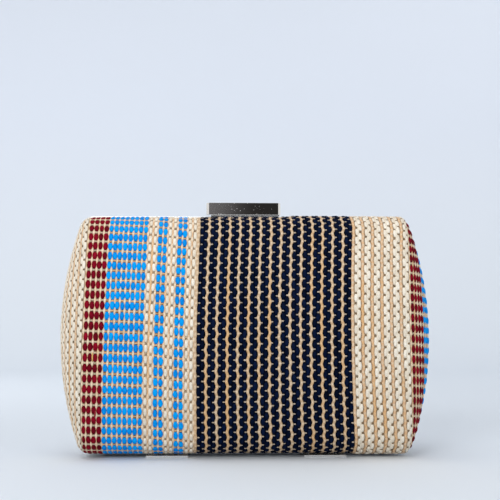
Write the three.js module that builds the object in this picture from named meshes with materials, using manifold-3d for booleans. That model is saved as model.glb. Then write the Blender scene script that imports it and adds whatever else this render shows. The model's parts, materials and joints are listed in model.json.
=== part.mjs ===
// A rigid box clutch: two hollow cloth-covered halves, each edged by a thin metal rim, hinged under the
// base and shut by a bar clasp on top. Millimetres. -Y is the front, +X is to the right in the front view,
// +Z is up, z = 0 is the surface it stands on, and y = 0 is the plane where the two halves meet.
import * as THREE from 'three';
import Module from 'manifold-3d';
import { mergeVertices } from 'three/addons/utils/BufferGeometryUtils.js';

// Shared fits
const clearance = 0.3;            // gap between pieces that touch on the real clutch

// Frame: the outline that both rims follow, flat above and below, bowed at the sides
const frameWidth = 187.5;         // across the bowed sides, at mid height
const frameHeight = 120;          // between the flat top and bottom edges
const sideBow = 10.8;             // how far each side bows out beyond its ends
const cornerRadius = 7.5;

// Rims: an L section with a visible edge and a lip that goes into the shell
const rimWidth = 2.05;            // front to back, one rim
const rimDepth = 4.6;             // from the outer face inwards
const rimBevel = 0.3;
const lipReach = 1.6;             // how far the lip goes into the shell
const lipThickness = 0.7;

// Shells
const shellWall = 2.5;            // stiff shell and thick cloth together
const shellInset = 0.5;           // how far the rim stands proud of the cloth at the seam
const shellDepth = 23.5;          // from the shell's edge to the middle of its face
const edgeRadius = 15;            // rounding between the face and the top and bottom walls
const edgeBand = 2.8;             // straight band of the top and bottom walls beside the rim
const wallSlope = 8;              // degrees that this band leans in
const sideReach = 13.8;           // how far the side wall slopes out from the face to the rim, at mid height
const sideReachMin = 0.5;         // the same where the corner leaves it least

// Hinges under the base
const hingeOffset = 39.5;         // from the middle of the clutch to the middle of each hinge
const hingeLength = 21;
const knuckleRadius = 1.3;
const hingePinRadius = 0.5;
const middleKnuckle = 10;         // length of the back leaf's knuckle
const axisBelowRim = 0.2;         // the hinge axis lies this far below the rims
const leafReach = 8;              // from the middle plane to the leaf's outer edge
const leafBevel = 0.35;

// Clasp on top
const barLength = 38;
const barHeight = 4.8;
const barDepth = 10;
const barBevel = 0.9;
const barHeel = 1.8;              // bevel at the lower back edge, which clears the bracket as the bar tips
const seatThickness = 0.8;        // plates under the bar, on the two rims
const seatLength = 35;
const seatDepth = 4.2;            // front to back, one plate
const claspAxisBack = 3;          // the bar's axis lies this far behind the middle plane
const claspAxisRise = 1.5;        // and this far above the bar's underside
const claspPinRadius = 0.55;
const earRadius = 1.2;
const earWidth = 3;
const earOffset = 9;              // from the middle of the bar to the middle of each ear

// How finely the curves are cut
const crownSteps = 12;
const edgeSteps = 6;
const wallSteps = 6;
const creaseSteps = 3;
const sideSteps = 14;
const cornerSteps = 6;
const roundSteps = 16;

// Worked out from the sizes above
const knuckleBore = hingePinRadius + clearance;
const hingeAxisZ = knuckleRadius;
const rimBottomZ = hingeAxisZ + axisBelowRim;
const leafThickness = rimBottomZ - clearance;
const middleZ = rimBottomZ + frameHeight / 2;
const rimTopZ = rimBottomZ + frameHeight;
const rimFace = clearance / 2;                          // each rim starts half a gap from the middle plane
const shellEdge = rimFace + rimWidth + clearance;       // where each shell starts
const notchRadius = knuckleRadius + clearance;
const seatBottomZ = rimTopZ + clearance;
const seatTopZ = seatBottomZ + seatThickness;
const barBottomZ = seatTopZ + clearance;
const claspAxisZ = barBottomZ + claspAxisRise;
const claspBore = claspPinRadius + clearance;

const radians = (degrees) => degrees * Math.PI / 180;

// Materials
const cloth = new THREE.MeshStandardMaterial({ color: 0x9a8a78, roughness: 0.85, metalness: 0 });
const silver = new THREE.MeshStandardMaterial({ color: 0xd4d2ce, roughness: 0.15, metalness: 1 });
const steel = new THREE.MeshStandardMaterial({ color: 0xa8a8aa, roughness: 0.3, metalness: 1 });

// Solids: closed meshes are joined and cut here
const wasm = await Module();
wasm.setup();

function toSolid(geometry) {
  const bare = geometry.clone();
  bare.deleteAttribute('normal');
  bare.deleteAttribute('uv');
  const merged = mergeVertices(bare, 1e-4);
  return new wasm.Manifold(new wasm.Mesh({
    numProp: 3,
    vertProperties: new Float32Array(merged.attributes.position.array),
    triVerts: new Uint32Array(merged.index.array),
  }));
}

function toGeometry(solid) {
  const mesh = solid.getMesh();
  const geometry = new THREE.BufferGeometry();
  geometry.setAttribute('position', new THREE.BufferAttribute(new Float32Array(mesh.vertProperties), 3));
  geometry.setIndex(new THREE.BufferAttribute(new Uint32Array(mesh.triVerts), 1));
  geometry.computeVertexNormals();
  return geometry;
}

// A closed surface from points and quads, turned so that its faces point out
function closedGeometry(points, quads) {
  const indices = quads.flatMap(([a, b, c, d]) => [a, b, c, a, c, d]);
  let volume = 0;
  for (let i = 0; i < indices.length; i += 3) {
    const [a, b, c] = [points[indices[i]], points[indices[i + 1]], points[indices[i + 2]]];
    volume += a.dot(b.clone().cross(c));
  }
  if (volume < 0) indices.reverse();
  const geometry = new THREE.BufferGeometry().setFromPoints(points);
  geometry.setIndex(indices);
  geometry.computeVertexNormals();
  return geometry;
}

// A section given as [y, z] points, carried along X between two ends, with an optional bevel at the ends
function prism(section, fromX, toX, bevel = 0) {
  const shape = new THREE.Shape(section.map(([y, z]) => new THREE.Vector2(y, z)));
  const geometry = new THREE.ExtrudeGeometry(shape, {
    depth: toX - fromX - 2 * bevel,
    bevelEnabled: bevel > 0,
    bevelThickness: bevel,
    bevelSize: bevel,
    bevelOffset: -bevel,
    bevelSegments: 1,
  });
  geometry.translate(0, 0, fromX + bevel);
  const upright = new THREE.Matrix4().makeBasis(
    new THREE.Vector3(0, 1, 0), new THREE.Vector3(0, 0, 1), new THREE.Vector3(1, 0, 0));
  return geometry.applyMatrix4(upright);
}

function block(minX, maxX, minY, maxY, minZ, maxZ) {
  return prism([[minY, minZ], [maxY, minZ], [maxY, maxZ], [minY, maxZ]], minX, maxX);
}

// A round bar along X
function rod(radius, fromX, toX, y, z) {
  const geometry = new THREE.CylinderGeometry(radius, radius, toX - fromX, roundSteps);
  return geometry.rotateZ(Math.PI / 2).translate((fromX + toX) / 2, y, z);
}

// The frame's outline. Each side is an arc through its two ends and its bowed middle.
const sideRadius = ((frameHeight / 2) ** 2 + sideBow ** 2) / (2 * sideBow);
const sideCentreX = frameWidth / 2 - sideRadius;
const cornerZ = frameHeight / 2 - cornerRadius;
const cornerX = sideCentreX + Math.sqrt((sideRadius - cornerRadius) ** 2 - cornerZ ** 2);
const sideAngle = Math.atan2(cornerZ, cornerX - sideCentreX);

// Half width of the outline at height z from its middle, for an outline drawn in by inset
function outlineReach(z, inset) {
  const height = Math.abs(z);
  if (height <= (sideRadius - inset) * Math.sin(sideAngle)) {
    return sideCentreX + Math.sqrt((sideRadius - inset) ** 2 - height ** 2);
  }
  const radius = cornerRadius - inset;
  return cornerX + Math.sqrt(Math.max(0, radius ** 2 - (height - cornerZ) ** 2));
}

// Outline points with their outward directions, for one quarter and then all round
function outlineLoop() {
  const quarter = [];
  for (let i = 0; i <= sideSteps / 2; i++) {
    const angle = sideAngle * i / (sideSteps / 2);
    quarter.push({ x: sideCentreX, z: 0, radius: sideRadius, angle });
  }
  for (let i = 1; i <= cornerSteps; i++) {
    const angle = sideAngle + (Math.PI / 2 - sideAngle) * i / cornerSteps;
    quarter.push({ x: cornerX, z: cornerZ, radius: cornerRadius, angle });
  }
  const spots = quarter.map(({ x, z, radius, angle }) => ({
    x: x + radius * Math.cos(angle), z: z + radius * Math.sin(angle), outX: Math.cos(angle), outZ: Math.sin(angle),
  }));
  const flipped = (list, signX, signZ) => list.map((spot) => ({
    x: spot.x * signX, z: spot.z * signZ, outX: spot.outX * signX, outZ: spot.outZ * signZ,
  }));
  return [
    ...spots,
    ...flipped([...spots].reverse(), -1, 1),
    ...flipped(spots.slice(1), -1, -1),
    ...flipped([...spots].reverse().slice(0, -1), 1, -1),
  ];
}

// A rim: its section, as [inset from the outline, distance from the middle plane], carried round the outline
function rimGeometry() {
  const back = rimFace + rimWidth;
  const lipOuter = rimDepth - lipThickness;
  const section = [
    [rimBevel, rimFace], [0, rimFace + rimBevel], [0, back - rimBevel], [rimBevel, back],
    [lipOuter, back], [lipOuter, back + lipReach], [rimDepth, back + lipReach], [rimDepth, rimFace],
  ];
  const loop = outlineLoop();
  const points = loop.flatMap((spot) => section.map(([inset, depth]) => new THREE.Vector3(
    spot.x - spot.outX * inset, -depth, middleZ + spot.z - spot.outZ * inset)));
  const quads = [];
  for (let i = 0; i < loop.length; i++) {
    for (let j = 0; j < section.length; j++) {
      const nextI = (i + 1) % loop.length;
      const nextJ = (j + 1) % section.length;
      quads.push([i, nextI].flatMap((row, side) => (side ? [nextJ, j] : [j, nextJ])
        .map((column) => row * section.length + column)));
    }
  }
  let solid = toSolid(closedGeometry(points, quads));
  for (const side of [-1, 1]) {
    const middle = side * hingeOffset;
    const half = hingeLength / 2 + clearance;
    solid = solid.subtract(toSolid(rod(notchRadius, middle - half, middle + half, 0, hingeAxisZ)));
  }
  return toGeometry(solid);
}

// The shell's upright section, from the top edge over the crowned face to the bottom edge, as
// [depth, z from the middle]. The crown's arc, the rounding's arc and the sloping band touch smoothly.
function uprightSection(inset) {
  const slope = radians(wallSlope);
  const halfHeight = frameHeight / 2 - shellInset;
  const acrossRise = halfHeight - edgeRadius * Math.cos(slope) - edgeBand * Math.tan(slope);
  const deepRise = shellDepth - edgeRadius - edgeBand + edgeRadius * Math.sin(slope);
  const crownEnd = 2 * Math.atan(deepRise / acrossRise);
  const crownRadius = acrossRise / Math.sin(crownEnd) + edgeRadius;
  const roundDepth = edgeBand - edgeRadius * Math.sin(slope);
  const roundZ = acrossRise;
  const section = [];
  const bandDepth = edgeBand - inset * Math.sin(slope);
  section.push([0, roundZ + (edgeRadius - inset) * Math.cos(slope) + bandDepth * Math.tan(slope)]);
  for (let i = 0; i < edgeSteps; i++) {
    const angle = Math.PI / 2 - slope + (crownEnd - Math.PI / 2 + slope) * i / edgeSteps;
    section.push([
      roundDepth + (edgeRadius - inset) * Math.cos(angle), roundZ + (edgeRadius - inset) * Math.sin(angle)]);
  }
  for (let i = 0; i < crownSteps / 2; i++) {
    const angle = crownEnd * (1 - i / (crownSteps / 2));
    section.push([
      shellDepth - crownRadius + (crownRadius - inset) * Math.cos(angle), (crownRadius - inset) * Math.sin(angle)]);
  }
  const lower = section.map(([depth, z]) => [depth, -z]).reverse();
  return [...section, [shellDepth - inset, 0], ...lower];
}

// The shell's level section at one height, right half, as [x, depth]: a flat face, a small rounding at the
// crease, and a side wall that is a parabola, square to the frame at its edge
function levelSection(depth, z, inset) {
  const reach = outlineReach(z, shellInset + inset);
  const turn = Math.atan(shellDepth / (2 * sideReach));
  const creaseX = frameWidth / 2 - shellInset - sideReach - inset * Math.tan(turn / 2);
  const crease = Math.min(creaseX, reach - sideReachMin);
  const wall = (share) => [crease + (reach - crease) * (1 - (1 - share) ** 2), depth * (1 - share)];
  const blendShare = 0.07;
  const blendEnd = wall(blendShare);
  const blendStart = [2 * crease - blendEnd[0], depth];
  const section = [];
  for (let i = 0; i < creaseSteps; i++) {
    const t = i / creaseSteps;
    section.push([0, 1].map((k) =>
      blendStart[k] * (1 - t) ** 2 + 2 * [crease, depth][k] * t * (1 - t) + blendEnd[k] * t ** 2));
  }
  for (let i = 0; i <= wallSteps; i++) {
    section.push(wall(blendShare + (1 - blendShare) * i / wallSteps));
  }
  return section;
}

// One side of the shell's wall as rows of points
function shellSurface(inset) {
  return uprightSection(inset).map(([depth, z]) => {
    const right = levelSection(depth, z, inset);
    const left = right.map(([x, d]) => [-x, d]).reverse();
    return [...left, ...right].map(([x, d]) => new THREE.Vector3(x, -shellEdge - d, middleZ + z));
  });
}

// A hollow shell: its outer and inner surfaces, joined round their edge
function shellGeometry() {
  const outer = shellSurface(0);
  const inner = shellSurface(shellWall);
  const rows = outer.length;
  const columns = outer[0].length;
  const points = [...outer.flat(), ...inner.flat()];
  const at = (side, row, column) => side * rows * columns + row * columns + column;
  const quads = [];
  for (let row = 0; row < rows - 1; row++) {
    for (let column = 0; column < columns - 1; column++) {
      quads.push([at(0, row, column), at(0, row + 1, column), at(0, row + 1, column + 1), at(0, row, column + 1)]);
      quads.push([at(1, row, column), at(1, row, column + 1), at(1, row + 1, column + 1), at(1, row + 1, column)]);
    }
  }
  const edge = [];
  for (let column = 0; column < columns - 1; column++) edge.push([0, column]);
  for (let row = 0; row < rows - 1; row++) edge.push([row, columns - 1]);
  for (let column = columns - 1; column > 0; column--) edge.push([rows - 1, column]);
  for (let row = rows - 1; row > 0; row--) edge.push([row, 0]);
  edge.forEach(([row, column], i) => {
    const [nextRow, nextColumn] = edge[(i + 1) % edge.length];
    quads.push([at(0, row, column), at(0, nextRow, nextColumn), at(1, nextRow, nextColumn), at(1, row, column)]);
  });
  return closedGeometry(points, quads);
}

// A hinge leaf for the front: a flat plate under the rim, with knuckles at the given [from, to] stretches
function leafGeometry(knuckles) {
  const half = hingeLength / 2;
  const inner = -notchRadius;
  let solid = toSolid(prism([
    [-leafReach, leafBevel], [-leafReach + leafBevel, 0], [inner, 0], [inner, leafThickness],
    [-leafReach, leafThickness],
  ], -half, half));
  for (const [from, to] of knuckles) {
    solid = solid.add(toSolid(rod(knuckleRadius, from, to, 0, hingeAxisZ)));
    solid = solid.add(toSolid(block(from, to, inner - clearance, -knuckleBore, 0, leafThickness)));
  }
  return toGeometry(solid.subtract(toSolid(rod(knuckleBore, -hingeLength, hingeLength, 0, hingeAxisZ))));
}

// The clasp's bracket: a plate on the back rim with two ears that hold the pin
function bracketGeometry() {
  const half = seatLength / 2;
  let solid = toSolid(block(-half, half, clearance, clearance + seatDepth, seatBottomZ, seatTopZ));
  for (const side of [-1, 1]) {
    const from = side * earOffset - earWidth / 2;
    const to = from + earWidth;
    solid = solid.add(toSolid(rod(earRadius, from, to, claspAxisBack, claspAxisZ)));
    solid = solid.add(toSolid(block(
      from, to, claspAxisBack - earRadius, claspAxisBack + earRadius, seatBottomZ, claspAxisZ)));
  }
  return toGeometry(solid.subtract(toSolid(rod(claspBore, -half, half, claspAxisBack, claspAxisZ))));
}

// The clasp's bar: a bevelled block with slots for the ears and a hole for the pin
function barGeometry() {
  const front = -barDepth / 2;
  const back = barDepth / 2;
  const top = barBottomZ + barHeight;
  const outline = [
    [front + barBevel, barBottomZ], [back - barHeel, barBottomZ], [back, barBottomZ + barHeel],
    [back, top - barBevel], [back - barBevel, top], [front + barBevel, top],
    [front, top - barBevel], [front, barBottomZ + barBevel],
  ];
  let solid = toSolid(prism(outline, -barLength / 2, barLength / 2, barBevel));
  const room = earRadius + clearance * 2;
  for (const side of [-1, 1]) {
    const from = side * earOffset - earWidth / 2 - clearance;
    const to = from + earWidth + 2 * clearance;
    solid = solid.subtract(toSolid(block(
      from, to, claspAxisBack - room, barDepth, barBottomZ - clearance, claspAxisZ + room)));
  }
  const half = claspPinHalf + clearance;
  return toGeometry(solid.subtract(toSolid(rod(claspBore, -half, half, claspAxisBack, claspAxisZ))));
}

// Assembly
const clutch = new THREE.Group();
const claspPinHalf = earOffset + earWidth;

function place(name, geometry, material, x = 0, turned = false) {
  const mesh = new THREE.Mesh(geometry, material);
  mesh.name = name;
  mesh.position.x = x;
  mesh.rotation.z = turned ? Math.PI : 0;
  clutch.add(mesh);
}

const half = hingeLength / 2;
const middle = middleKnuckle / 2;
const outerKnuckles = [[-half, -middle - clearance], [middle + clearance, half]];
const innerKnuckle = [[-middle, middle]];

place('front_shell', shellGeometry(), cloth);
place('back_shell', shellGeometry(), cloth, 0, true);
place('front_rim', rimGeometry(), silver);
place('back_rim', rimGeometry(), silver, 0, true);
for (const [side, x] of [['left', -hingeOffset], ['right', hingeOffset]]) {
  place(`front_hinge_leaf_${side}`, leafGeometry(outerKnuckles), silver, x);
  place(`back_hinge_leaf_${side}`, leafGeometry(innerKnuckle), silver, x, true);
  place(`hinge_pin_${side}`, rod(hingePinRadius, -half, half, 0, hingeAxisZ), steel, x);
}
place('clasp_catch', block(
  -seatLength / 2, seatLength / 2, -clearance - seatDepth, -clearance, seatBottomZ, seatTopZ), silver);
place('clasp_bracket', bracketGeometry(), silver);
place('clasp_pin', rod(claspPinRadius, -claspPinHalf, claspPinHalf, claspAxisBack, claspAxisZ), steel);
place('clasp_bar', barGeometry(), silver);

export default clutch;
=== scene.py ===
# Looks of the raffia clutch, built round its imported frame. Metres, -Y is the front, +Z is up.
import json
import math

import bpy
import numpy as np
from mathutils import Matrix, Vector


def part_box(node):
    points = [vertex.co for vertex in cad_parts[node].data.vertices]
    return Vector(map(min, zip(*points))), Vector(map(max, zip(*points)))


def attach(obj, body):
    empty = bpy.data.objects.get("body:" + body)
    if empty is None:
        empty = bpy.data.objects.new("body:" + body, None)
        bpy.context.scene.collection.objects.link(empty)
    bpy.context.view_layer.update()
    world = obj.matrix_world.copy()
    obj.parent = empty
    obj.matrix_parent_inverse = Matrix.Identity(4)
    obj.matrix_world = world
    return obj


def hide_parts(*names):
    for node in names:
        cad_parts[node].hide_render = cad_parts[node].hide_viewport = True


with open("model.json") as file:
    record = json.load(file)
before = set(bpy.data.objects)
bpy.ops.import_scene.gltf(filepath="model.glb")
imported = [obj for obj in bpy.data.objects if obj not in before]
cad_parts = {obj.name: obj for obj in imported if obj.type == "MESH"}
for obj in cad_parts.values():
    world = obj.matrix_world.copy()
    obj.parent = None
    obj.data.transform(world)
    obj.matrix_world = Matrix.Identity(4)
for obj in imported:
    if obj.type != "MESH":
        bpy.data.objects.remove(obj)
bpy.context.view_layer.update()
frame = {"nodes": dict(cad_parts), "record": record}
scene = bpy.context.scene
mm = 0.001
print("frame loaded,", len(frame["nodes"]), "nodes")


# A shader socket with arithmetic: an expression on these adds Math nodes
class Wrap:
    def __init__(self, tree, socket=None):
        self.tree, self.socket = tree, socket

    def node(self, kind, settings=None, sockets=None, out=0):
        made = self.tree.nodes.new(kind)
        for name, value in (settings or {}).items():
            if name == "stops":
                for i, (place, colour) in enumerate(value):
                    stop = made.color_ramp.elements[i] if i < 2 else made.color_ramp.elements.new(place)
                    stop.position, stop.color = place, colour
            else:
                setattr(made, name, value)
        for name, value in (sockets or {}).items():
            if isinstance(value, Wrap):
                self.tree.links.new(value.socket, made.inputs[name])
            else:
                made.inputs[name].default_value = value
        return Wrap(self.tree, made.outputs[out])

    # Ends the tree: this shader goes to an output node of the given kind
    def end(self, kind):
        self.tree.links.new(self.socket, self.tree.nodes.new(kind).inputs["Surface"])

    def math(self, operation, first, second=0.0, clamp=False):
        settings = {"operation": operation, "use_clamp": clamp}
        return self.node("ShaderNodeMath", settings, {0: first, 1: second})

    def mix(self, share, first, second):
        return self.node("ShaderNodeMix", {"data_type": "RGBA"}, {0: share, 6: first, 7: second}, out=2)

    def noise(self, place, scale, detail):
        sockets = {"Vector": place, "Scale": scale, "Detail": detail}
        return self.node("ShaderNodeTexNoise", {}, sockets, out="Fac")

    # The three numbers of this vector
    def axes(self):
        return [self.node("ShaderNodeSeparateXYZ", {}, {"Vector": self}, out=axis) for axis in "XYZ"]

    # 0 below low, 1 above high, smooth between
    def step(self, low, high):
        return self.node("ShaderNodeMapRange", {"interpolation_type": "SMOOTHSTEP"},
                         {"Value": self, "From Min": low, "From Max": high})

    def __add__(self, other):
        return self.math("ADD", self, other)

    def __radd__(self, other):
        return self.math("ADD", other, self)

    def __sub__(self, other):
        return self.math("SUBTRACT", self, other)

    def __rsub__(self, other):
        return self.math("SUBTRACT", other, self)

    def __mul__(self, other):
        return self.math("MULTIPLY", self, other)

    def __rmul__(self, other):
        return self.math("MULTIPLY", other, self)


# Linear colour from the 0 to 255 steps that a paint chart gives
def paint(red, green, blue):
    share = np.array([red, green, blue]) / 255
    straight = np.where(share <= 0.04045, share / 12.92, ((share + 0.055) / 1.055) ** 2.4)
    return tuple(float(c) for c in straight) + (1.0,)


def newMaterial(name):
    material = bpy.data.materials.new(name)
    material.use_nodes = True
    material.node_tree.nodes.clear()
    return material, Wrap(material.node_tree)


# Ends a material: the shader's sockets, with a bump where a height is given
def surface(start, sockets, height=None, depth=0.0):
    if height is not None:
        relief = {"Height": height, "Strength": 1.0, "Distance": depth}
        sockets["Normal"] = start.node("ShaderNodeBump", {}, relief)
    start.node("ShaderNodeBsdfPrincipled", {}, sockets).end("ShaderNodeOutputMaterial")


# A mesh piece. Faces is a list of index arrays, each with one number of corners, and fields are values for
# each point.
def makePiece(name, points, faces, material, uv=None, fields=None, smooth=True):
    corners = np.concatenate([np.asarray(f).ravel() for f in faces]).astype(np.int32)
    sizes = np.concatenate([np.full(len(f), np.shape(f)[1]) for f in faces])
    mesh = bpy.data.meshes.new(name)
    mesh.vertices.add(len(points))
    mesh.loops.add(len(corners))
    mesh.polygons.add(len(sizes))
    mesh.vertices.foreach_set("co", points.astype(np.float32).ravel())
    mesh.loops.foreach_set("vertex_index", corners)
    mesh.polygons.foreach_set("loop_start", np.concatenate([[0], np.cumsum(sizes)[:-1]]).astype(np.int32))
    mesh.polygons.foreach_set("use_smooth", np.full(len(sizes), smooth))
    mesh.update(calc_edges=True)
    if uv is not None:
        layer = mesh.uv_layers.new(name="fibres")
        layer.data.foreach_set("uv", uv[corners].astype(np.float32).ravel())
    for field, values in (fields or {}).items():
        kind, slot = ("FLOAT_COLOR", "color") if values.ndim == 2 else ("FLOAT", "value")
        mesh.attributes.new(field, kind, "POINT").data.foreach_set(slot, values.astype(np.float32).ravel())
    mesh.materials.append(material)
    piece = bpy.data.objects.new(name, mesh)
    scene.collection.objects.link(piece)
    return piece


# Quads over a grid of rows by columns of points, which may close on itself across
def gridFaces(rows, columns, closed=False):
    acrossSteps = columns if closed else columns - 1
    row, column = np.meshgrid(np.arange(rows - 1), np.arange(acrossSteps), indexing="ij")
    nextColumn = (column + 1) % columns
    corners = [row * columns + column, (row + 1) * columns + column,
               (row + 1) * columns + nextColumn, row * columns + nextColumn]
    return np.stack(corners, -1).reshape(-1, 4)


# The camera, at the photograph's viewing angle: a little left of the middle, low and looking slightly up
cameraPlace = {
    "position": (-30.2 * mm, -462.4 * mm, 64.3 * mm),
    "pitch": 4.97,      # degrees up
    "yaw": 1.99,        # degrees to the right
    "lens": 64.8,       # on a 36 mm sensor
    "shift": 0.065,     # the photograph's frame lies a little to the right of the lens axis
}


def makeCamera():
    camera = bpy.data.objects.new("camera", bpy.data.cameras.new("camera"))
    scene.collection.objects.link(camera)
    pitch, yaw = math.radians(cameraPlace["pitch"]), math.radians(cameraPlace["yaw"])
    ahead = Vector((math.sin(yaw) * math.cos(pitch), math.cos(yaw) * math.cos(pitch), math.sin(pitch)))
    camera.location = cameraPlace["position"]
    camera.rotation_mode = "QUATERNION"
    camera.rotation_quaternion = ahead.to_track_quat("-Z", "Y")
    camera.data.sensor_width = 36
    camera.data.lens = cameraPlace["lens"]
    camera.data.shift_x = cameraPlace["shift"]
    camera.data.clip_start = 0.01
    scene.camera = camera


makeCamera()
scene.view_settings.view_transform = "Standard"


# The form of one half, in its own axes: x across, depth out from its edge, z up from its middle
rimLow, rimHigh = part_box("front_rim")
shellLow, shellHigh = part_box("front_shell")
shellForm = {
    "sideBow": 10.8 * mm,       # how far the frame's sides bow out
    "cornerRadius": 7.5 * mm,   # of the frame
    "edgeRadius": 15 * mm,      # between the face and the top and bottom walls
    "edgeBand": 2.8 * mm,       # straight band beside the rim
    "wallSlope": 8,             # degrees that this band leans in
    "sideReach": 13.8 * mm,     # how far the side wall slopes out at mid height
    "sideReachMin": 0.5 * mm,   # the same at the corners
    "sideFull": (0.945, 0.647), # pull point of the side wall's curve: share of its reach and of its depth
    "creaseShare": 0.07,        # share of the side wall that softens the crease
    "wall": 2.5 * mm,
}
frameHalf = (rimHigh.z - rimLow.z) / 2
frameReach = rimHigh.x
middleZ = (rimHigh.z + rimLow.z) / 2
shellInset = rimHigh.x - shellHigh.x
shellDepth = shellHigh.y - shellLow.y
shellEdge = -shellHigh.y
slope = math.radians(shellForm["wallSlope"])
bandRise = shellForm["edgeBand"] * math.tan(slope)
roundZ = frameHalf - shellInset - shellForm["edgeRadius"] * math.cos(slope) - bandRise
roundDepth = shellForm["edgeBand"] - shellForm["edgeRadius"] * math.sin(slope)
crownEnd = 2 * math.atan((shellDepth - shellForm["edgeRadius"] - roundDepth) / roundZ)
crownRadius = roundZ / math.sin(crownEnd) + shellForm["edgeRadius"]
crownArc = crownRadius * crownEnd
roundArc = shellForm["edgeRadius"] * (math.pi / 2 - slope - crownEnd)
bandArc = shellForm["edgeBand"] / math.cos(slope)
endArc = crownArc + roundArc + bandArc
creaseX = frameReach - shellInset - shellForm["sideReach"]
creaseTurn = math.atan(shellDepth / (2 * shellForm["sideReach"]))

# The frame's outline: side arcs through their ends and bowed middle, and round corners
sideRadius = (frameHalf ** 2 + shellForm["sideBow"] ** 2) / (2 * shellForm["sideBow"])
sideCentre = frameReach - sideRadius
cornerZ = frameHalf - shellForm["cornerRadius"]
cornerX = sideCentre + math.sqrt((sideRadius - shellForm["cornerRadius"]) ** 2 - cornerZ ** 2)
sideAngle = math.atan2(cornerZ, cornerX - sideCentre)


# Half width of the outline at each height, drawn in by inset: the side's circle, then the corner's circle
def outlineReach(z, inset):
    height = np.abs(z)
    side = sideCentre + np.sqrt((sideRadius - inset) ** 2 - height ** 2)
    corner = np.sqrt(np.maximum((shellForm["cornerRadius"] - inset) ** 2 - (height - cornerZ) ** 2, 0))
    return np.where(height <= (sideRadius - inset) * math.sin(sideAngle), side, cornerX + corner)


# Depth and height at each arc length v from mid height: the crown's circle, the rounding's circle, the band
def uprightSection(v, inset=0.0):
    arc = np.abs(v)
    crown = np.minimum(arc, crownArc) / crownRadius
    turned = crownEnd + np.clip(arc - crownArc, 0, roundArc) / shellForm["edgeRadius"]
    share = np.clip((arc - crownArc - roundArc) / bandArc, 0, 1)
    round_ = shellForm["edgeRadius"] - inset
    band = shellForm["edgeBand"] - inset * math.sin(slope)
    onCrown, onRound = arc <= crownArc, arc <= crownArc + roundArc
    depth = np.select([onCrown, onRound], [
        shellDepth - crownRadius + (crownRadius - inset) * np.cos(crown),
        roundDepth + round_ * np.cos(turned),
    ], band * (1 - share))
    z = np.select([onCrown, onRound], [
        (crownRadius - inset) * np.sin(crown),
        roundZ + round_ * np.sin(turned),
    ], roundZ + round_ * math.cos(slope) + band * share * math.tan(slope))
    return depth, np.sign(v) * z


# x and depth along the right half of each level section: a flat face, a soft crease and the side wall, the
# last two as quadratic curves
def levelSection(depth, z, inset=0.0, steps=(66, 7, 30)):
    depth, z = depth[:, None], z[:, None]
    reach = outlineReach(z, shellInset + inset)
    crease = np.minimum(creaseX - inset * math.tan(creaseTurn / 2), reach - shellForm["sideReachMin"])
    face = np.linspace(0, 1, steps[0], endpoint=False)
    bend = np.linspace(0, 1, steps[1], endpoint=False)
    share = np.linspace(shellForm["creaseShare"], 1, steps[2])
    fullX, fullDepth = shellForm["sideFull"]
    wallX = crease + (reach - crease) * (2 * fullX * share * (1 - share) + share ** 2)
    wallDepth = depth * ((1 - share) ** 2 + 2 * fullDepth * share * (1 - share))
    bendStart = 2 * crease - wallX[:, :1]
    bendX = bendStart * (1 - bend) ** 2 + 2 * crease * bend * (1 - bend) + wallX[:, :1] * bend ** 2
    bendDepth = depth * (1 - bend ** 2) + wallDepth[:, :1] * bend ** 2
    x = np.concatenate([bendStart * face, bendX, wallX], 1)
    return x, np.concatenate([depth + 0 * face, bendDepth, wallDepth], 1)


# The right half of one surface of the shell, as points by row and column, with the arc length across
def halfSurface(v, inset=0.0):
    depth, z = uprightSection(v, inset)
    x, d = levelSection(depth, z, inset)
    across = np.cumsum(np.hypot(np.diff(x, axis=1, prepend=0), np.diff(d, axis=1, prepend=d[:, :1])), axis=1)
    return np.stack([x, -shellEdge - d, middleZ + z[:, None] + 0 * x], -1), across


def unit(vectors):
    return vectors / np.linalg.norm(vectors, axis=-1, keepdims=True)


# The cloth's surface as even grids over v (up) and s (across), for quick reading
clothStep = 0.5 * mm
clothV = np.linspace(-endArc, endArc, int(2 * endArc / clothStep) + 1)
halfPoints, halfAcross = halfSurface(clothV)
halfNormals = unit(np.cross(np.gradient(halfPoints, axis=1), np.gradient(halfPoints, axis=0)))
clothS = np.arange(0, halfAcross.max() + clothStep, clothStep)
below = (halfAcross[:, :, None] <= clothS).sum(1) - 1
below = np.clip(below, 0, halfAcross.shape[1] - 2)
startS = np.take_along_axis(halfAcross, below, 1)
stepS = np.take_along_axis(halfAcross, below + 1, 1) - startS
partS = np.clip((clothS - startS) / stepS, 0, 1)[..., None]


def evenly(values):
    first = np.take_along_axis(values, below[..., None], 1)
    return first + (np.take_along_axis(values, below[..., None] + 1, 1) - first) * partS


clothPoints, clothNormals = evenly(halfPoints), unit(evenly(halfNormals))
clothEnd = halfAcross[:, -1]


# Arc length across from the middle to the cloth's edge, at height v
def edgeAt(v):
    return np.interp(v, clothV, clothEnd)


# How far the cloth bulges along its upper and lower edges, by place across: above it hides the frame on the
# right, but not on the left, and below it sags on the right, beside the hinge
topBulge = np.array([
    (-110, 0), (-20, 0), (-15, 0.3), (18, 0.3), (26, 0.9), (80, 0.8), (88, 0.2), (110, 0),
]) * mm
bottomBulge = np.array([(-110, 0), (52, 0.2), (55, 0.8), (80, 0.8), (88, 0.2), (110, 0)]) * mm
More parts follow.
